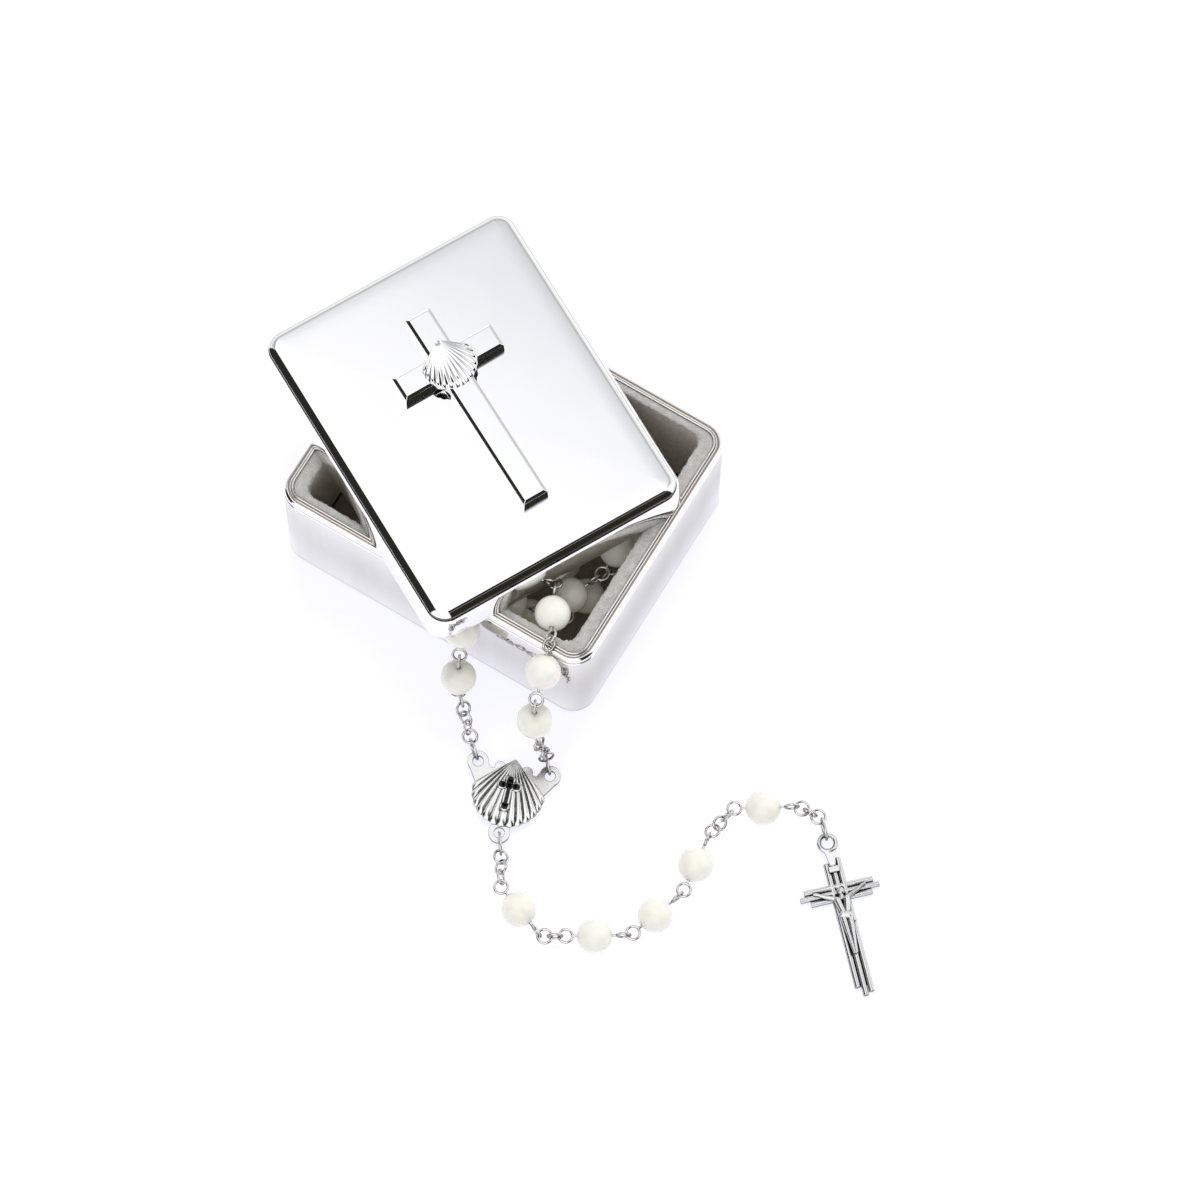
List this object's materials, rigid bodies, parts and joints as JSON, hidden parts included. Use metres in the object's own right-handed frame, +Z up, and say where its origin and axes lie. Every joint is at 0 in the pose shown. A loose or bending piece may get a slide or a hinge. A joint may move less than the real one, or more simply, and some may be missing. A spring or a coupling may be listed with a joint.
{
  "type": "rosary box",
  "caption": "Small metal keepsake box with a lift-off lid that carries a raised cross and scallop, and a beaded rosary with medal and crucifix drawn out over its rim.",
  "frame": {"origin": "middle of the base's underside, on the table", "axes": "+Z up, +X along the base's long side, -Y towards the wall that the rosary hangs over"},
  "size_m": [0.1394, 0.0981, 0.0393],
  "materials": {
    "plated_metal": "mirror plated",
    "plated_emblem": "polished plated",
    "flock": "flocked",
    "pearl": "pearlescent",
    "antique_silver": "antiqued, dark in the recesses",
    "silver_wire": "polished wire"
  },
  "bodies": {
    "box": {"base_shell": "plated_metal", "base_lining": "flock", "base_pad": "flock", "medal_plate": "antique_silver", "medal_scallop": "antique_silver", "right_strand_beads": "pearl", "right_strand_pins": "silver_wire", "right_strand_rings": "silver_wire", "left_strand_beads": "pearl", "left_strand_pins": "silver_wire", "left_strand_rings": "silver_wire", "decade_1_beads": "pearl", "decade_1_pins": "silver_wire", "decade_2_beads": "pearl", "decade_2_pins": "silver_wire", "decade_3_beads": "pearl", "decade_3_pins": "silver_wire", "decade_4_beads": "pearl", "decade_4_pins": "silver_wire", "decade_5_beads": "pearl", "decade_5_pins": "silver_wire", "large_prayer_beads": "pearl", "large_prayer_pins": "silver_wire", "decade_rings": "silver_wire"},
    "lid": {"lid_shell": "plated_metal", "lid_pad": "flock", "lid_cross": "plated_emblem", "lid_scallop": "plated_emblem"},
    "link_1": {"medal_rings": "silver_wire", "eye_pin_1": "silver_wire"},
    "bead_1": {"bead_1": "pearl"},
    "link_2": {"rings_2": "silver_wire", "eye_pin_2": "silver_wire"},
    "bead_2": {"bead_2": "pearl"},
    "link_3": {"eye_pin_3": "silver_wire"},
    "bead_3": {"bead_3": "pearl"},
    "link_4": {"eye_pin_4": "silver_wire"},
    "bead_4": {"bead_4": "pearl"},
    "link_5": {"rings_5": "silver_wire", "eye_pin_5": "silver_wire"},
    "bead_5": {"bead_5": "pearl"},
    "crucifix": {"crucifix_rings": "silver_wire", "crucifix_cross": "antique_silver", "crucifix_figure": "antique_silver", "crucifix_title": "antique_silver"}
  },
  "joints": [
    {"name": "lid_lift", "type": "slide", "parent": "box", "child": "lid", "axis": [0, 0, 1], "range_m": [0, 0.05]},
    {"name": "medal_joint", "type": "hinge", "parent": "box", "child": "link_1", "pos_m": [0.02829, -0.04837, 0.0013], "axis": [0, 0, 1], "range_deg": [-12, 12]},
    {"name": "joint_2", "type": "hinge", "parent": "link_1", "child": "link_2", "pos_m": [0.04373, -0.06042, 0.003], "axis": [0, 0, 1], "range_deg": [-14, 14]},
    {"name": "joint_3", "type": "hinge", "parent": "link_2", "child": "link_3", "pos_m": [0.05632, -0.05256, 0.003], "axis": [0, 0, 1], "range_deg": [-16, 16]},
    {"name": "joint_4", "type": "hinge", "parent": "link_3", "child": "link_4", "pos_m": [0.06, -0.04189, 0.003], "axis": [0, 0, 1], "range_deg": [-16, 16]},
    {"name": "joint_5", "type": "hinge", "parent": "link_4", "child": "link_5", "pos_m": [0.05862, -0.03068, 0.003], "axis": [0, 0, 1], "range_deg": [-14, 14]},
    {"name": "crucifix_joint", "type": "hinge", "parent": "link_5", "child": "crucifix", "pos_m": [0.06886, -0.01898, 0.003], "axis": [0, 0, 1], "range_deg": [-14, 14]},
    {"name": "bead_1_spin", "type": "hinge", "parent": "link_1", "child": "bead_1", "pos_m": [0.0382, -0.0583, 0.003], "axis": [0.9336, -0.3584, 0], "continuous": true},
    {"name": "bead_2_spin", "type": "hinge", "parent": "link_2", "child": "bead_2", "pos_m": [0.0513, -0.0557, 0.003], "axis": [0.848, 0.5299, 0], "continuous": true},
    {"name": "bead_3_spin", "type": "hinge", "parent": "link_3", "child": "bead_3", "pos_m": [0.05807, -0.04748, 0.003], "axis": [0.3256, 0.9455, 0], "continuous": true},
    {"name": "bead_4_spin", "type": "hinge", "parent": "link_4", "child": "bead_4", "pos_m": [0.05934, -0.03656, 0.003], "axis": [-0.1219, 0.9925, 0], "continuous": true},
    {"name": "bead_5_spin", "type": "hinge", "parent": "link_5", "child": "bead_5", "pos_m": [0.0639, -0.0222, 0.003], "axis": [0.8387, 0.5446, 0], "continuous": true}
  ]
}
